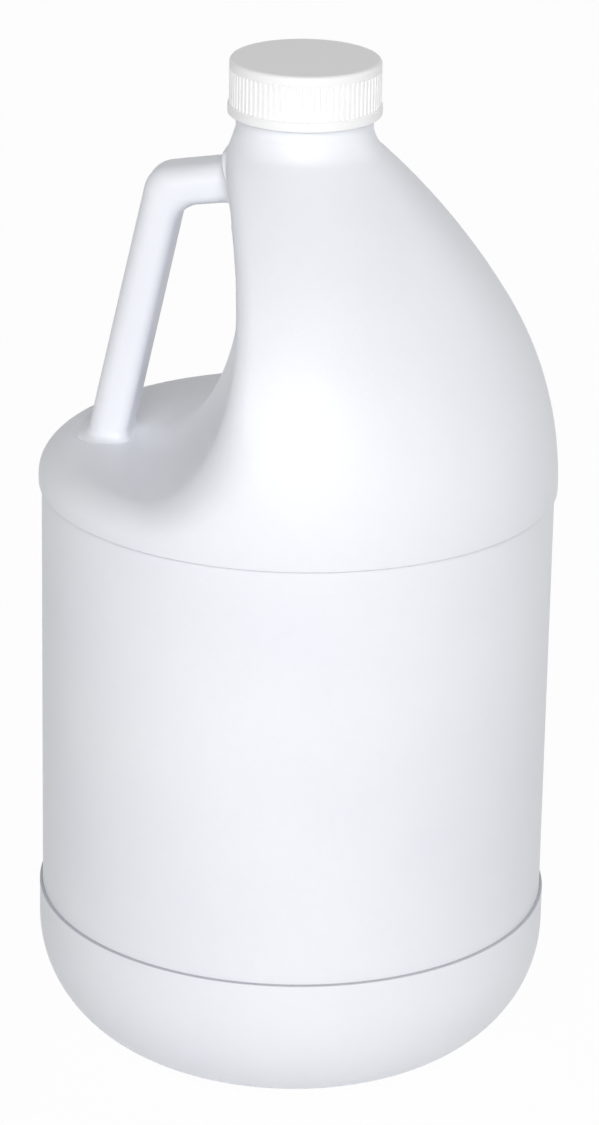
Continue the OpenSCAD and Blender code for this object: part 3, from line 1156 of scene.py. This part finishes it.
@dataclass(frozen=True)
class Lamp:
    """A soft square lamp that faces the jug's middle; its place and side are in metres."""

    name: str
    place: tuple[float, float, float]
    side: float
    watts: float
    aim_z: float = 0.16

    def build(self) -> None:
        """Adds the lamp to the scene."""
        data = bpy.data.lights.new(self.name, "AREA")
        data.size = self.side
        data.energy = self.watts
        lamp = bpy.data.objects.new(self.name, data)
        lamp.location = self.place
        aim = Vector((0, 0, self.aim_z)) - Vector(self.place)
        lamp.rotation_euler = aim.to_track_quat("-Z", "Y").to_euler()
        bpy.context.scene.collection.objects.link(lamp)


@dataclass(frozen=True)
class Studio:
    """The camera at the photograph's angle, the pale floor, the surroundings and the soft lamps.

    walls and ceiling are the strengths of the fill from the horizon and from overhead, where it
    is constant above the height overhead.
    """

    azimuth: float = math.radians(10)
    reach: float = 1245.12
    height: float = 627.14
    elevation: float = math.radians(21.149)
    pan: float = math.radians(-0.037)
    roll: float = math.radians(1.062)
    focal_px: float = 4589.234
    sensor: float = 36.0
    clip_end: float = 20.0
    walls: float = 0.6
    ceiling: float = 0.06
    overhead: float = 0.9
    floor_half: float = 3000.0
    floor_drop: float = 0.02
    paint: FloorPaint = FloorPaint()
    lamps: tuple[Lamp, ...] = (
        Lamp("front", (0.36, -2.0, 1.15), 1.4, 33.8),
        Lamp("right_rim", (1.7, 1.1, 1.3), 1.0, 5.0),
    )

    def camera(self) -> None:
        """Makes the camera: it stands at its azimuth and looks down, turned by pan and roll."""
        data = bpy.data.cameras.new("camera")
        data.sensor_fit = "VERTICAL"
        data.sensor_height = self.sensor
        data.lens = self.sensor * self.focal_px / PIXELS_HIGH
        data.clip_end = self.clip_end
        heading = self.azimuth + self.pan
        forward = Vector((-math.sin(heading) * math.cos(self.elevation),
                          math.cos(heading) * math.cos(self.elevation),
                          -math.sin(self.elevation)))
        level = forward.cross(Vector((0, 0, 1))).normalized()
        upright = level.cross(forward)
        right = math.cos(self.roll) * level + math.sin(self.roll) * upright
        up = -math.sin(self.roll) * level + math.cos(self.roll) * upright
        camera = bpy.data.objects.new("camera", data)
        place = MM * Vector((self.reach * math.sin(self.azimuth), -self.reach * math.cos(self.azimuth),
                             self.height))
        turn = Matrix((right, up, -forward)).transposed().to_4x4()
        camera.matrix_world = Matrix.Translation(place) @ turn
        bpy.context.scene.collection.objects.link(camera)
        bpy.context.scene.camera = camera

    def floor(self) -> None:
        """Makes the pale floor."""
        half, z = self.floor_half, -self.floor_drop
        corners = np.array([[-half, -half, z], [half, -half, z], [half, half, z], [-half, half, z]])
        floor = make_mesh("studio_floor", corners, [[0, 1, 2, 3]])
        floor.data.materials.append(self.paint.build())

    def world(self) -> None:
        """Makes the surroundings: white to the camera and in reflections, otherwise a softer fill."""
        world = bpy.data.worlds.new("studio")
        bpy.context.scene.world = world
        tree = blank_tree(world)
        way = add_node(tree, "ShaderNodeTexCoord").outputs["Generated"]
        up = add_node(tree, "ShaderNodeSeparateXYZ", {"Vector": way})
        level = add_node(tree, "ShaderNodeMapRange", {
            "Value": up.outputs["Z"], "From Min": 0.0, "From Max": self.overhead,
            "To Min": self.walls, "To Max": self.ceiling})
        fill = add_node(tree, "ShaderNodeBackground",
                        {"Color": linear(WHITE), "Strength": level.outputs["Result"]})
        white = add_node(tree, "ShaderNodeBackground", {"Color": linear(WHITE), "Strength": 1.0})
        mix = add_node(tree, "ShaderNodeMixShader",
                       {0: clear_rays(tree), 1: fill.outputs[0], 2: white.outputs[0]})
        add_node(tree, "ShaderNodeOutputWorld", {"Surface": mix.outputs[0]})

    def build(self) -> None:
        """Sets up the camera, the floor, the surroundings and the lamps."""
        bpy.context.scene.view_settings.view_transform = "Standard"
        self.camera()
        self.floor()
        self.world()
        for lamp in self.lamps:
            lamp.build()


def main() -> None:
    logging.basicConfig(level=logging.INFO, format="%(name)s: %(message)s")
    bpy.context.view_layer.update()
    Studio().build()
    for part, finish in ((Jug(), Polyethylene()), (Cap(), Polypropylene()), (Liner(), Foam())):
        piece = part.build()
        part.dress(piece, finish)
        log.info("%s: %d faces", piece.name, len(piece.data.polygons))


if __name__ == "__main__":
    main()
